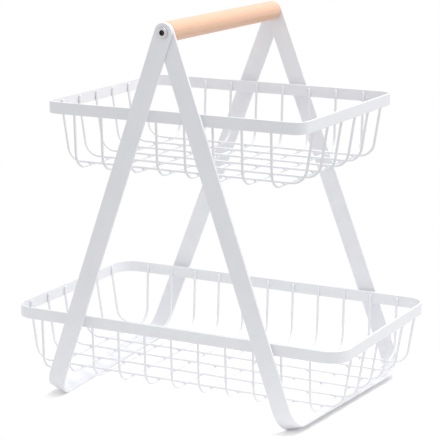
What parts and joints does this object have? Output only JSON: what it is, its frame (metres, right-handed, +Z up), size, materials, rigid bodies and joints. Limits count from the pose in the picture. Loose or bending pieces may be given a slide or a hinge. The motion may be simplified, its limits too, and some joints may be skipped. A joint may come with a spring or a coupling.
{
  "type": "tiered wire basket",
  "caption": "Free-standing tiered wire basket: open wire baskets hung between leaning flat-strap frames that cross under a round wooden carrying grip.",
  "frame": {"origin": "on the floor, in the middle of the footprint and under the middle of the grip", "axes": "+X along the long side of the baskets, +Y along the grip from front to rear, +Z up"},
  "size_m": [0.393, 0.2626, 0.4145],
  "materials": {
    "stand_coating": "white powder coat, satin",
    "basket_coating": "white powder coat, satin",
    "grip_wood": "pale wood, fine sanded, clear matt oil",
    "bolt_steel": "plated, satin",
    "insert_brass": "plain turned"
  },
  "bodies": {
    "stand": {"left_frame": "stand_coating", "lower_front_left_keeper": "stand_coating", "lower_front_right_keeper": "stand_coating", "lower_rear_left_keeper": "stand_coating", "lower_rear_right_keeper": "stand_coating", "right_frame": "stand_coating", "upper_front_left_keeper": "stand_coating", "upper_front_right_keeper": "stand_coating", "upper_rear_left_keeper": "stand_coating", "upper_rear_right_keeper": "stand_coating"},
    "handle": {"front_grip_bolt": "bolt_steel", "front_grip_insert": "insert_brass", "grip": "grip_wood", "rear_grip_bolt": "bolt_steel", "rear_grip_insert": "insert_brass"},
    "upper_basket": {"upper_cross_wire_01": "basket_coating", "upper_cross_wire_02": "basket_coating", "upper_cross_wire_03": "basket_coating", "upper_cross_wire_04": "basket_coating", "upper_cross_wire_05": "basket_coating", "upper_cross_wire_06": "basket_coating", "upper_cross_wire_07": "basket_coating", "upper_cross_wire_08": "basket_coating", "upper_front_left_tongue": "basket_coating", "upper_front_right_tongue": "basket_coating", "upper_long_wire_01": "basket_coating", "upper_long_wire_02": "basket_coating", "upper_long_wire_03": "basket_coating", "upper_long_wire_04": "basket_coating", "upper_long_wire_05": "basket_coating", "upper_long_wire_06": "basket_coating", "upper_rear_left_tongue": "basket_coating", "upper_rear_right_tongue": "basket_coating", "upper_rim": "basket_coating"},
    "lower_basket": {"lower_cross_wire_01": "basket_coating", "lower_cross_wire_02": "basket_coating", "lower_cross_wire_03": "basket_coating", "lower_cross_wire_04": "basket_coating", "lower_cross_wire_05": "basket_coating", "lower_cross_wire_06": "basket_coating", "lower_cross_wire_07": "basket_coating", "lower_cross_wire_08": "basket_coating", "lower_cross_wire_09": "basket_coating", "lower_cross_wire_10": "basket_coating", "lower_cross_wire_11": "basket_coating", "lower_front_left_tongue": "basket_coating", "lower_front_right_tongue": "basket_coating", "lower_long_wire_01": "basket_coating", "lower_long_wire_02": "basket_coating", "lower_long_wire_03": "basket_coating", "lower_long_wire_04": "basket_coating", "lower_long_wire_05": "basket_coating", "lower_long_wire_06": "basket_coating", "lower_rear_left_tongue": "basket_coating", "lower_rear_right_tongue": "basket_coating", "lower_rim": "basket_coating"}
  },
  "joints": [
    {"name": "handle_turn", "type": "hinge", "parent": "stand", "child": "handle", "pos_m": [0, 0, 0.404], "axis": [0, 1, 0], "continuous": true},
    {"name": "upper_basket_lift", "type": "slide", "parent": "stand", "child": "upper_basket", "axis": [0, 0, 1], "range_m": [0, 0.06]},
    {"name": "lower_basket_lift", "type": "slide", "parent": "stand", "child": "lower_basket", "axis": [0, 0, 1], "range_m": [0, 0.12]}
  ]
}
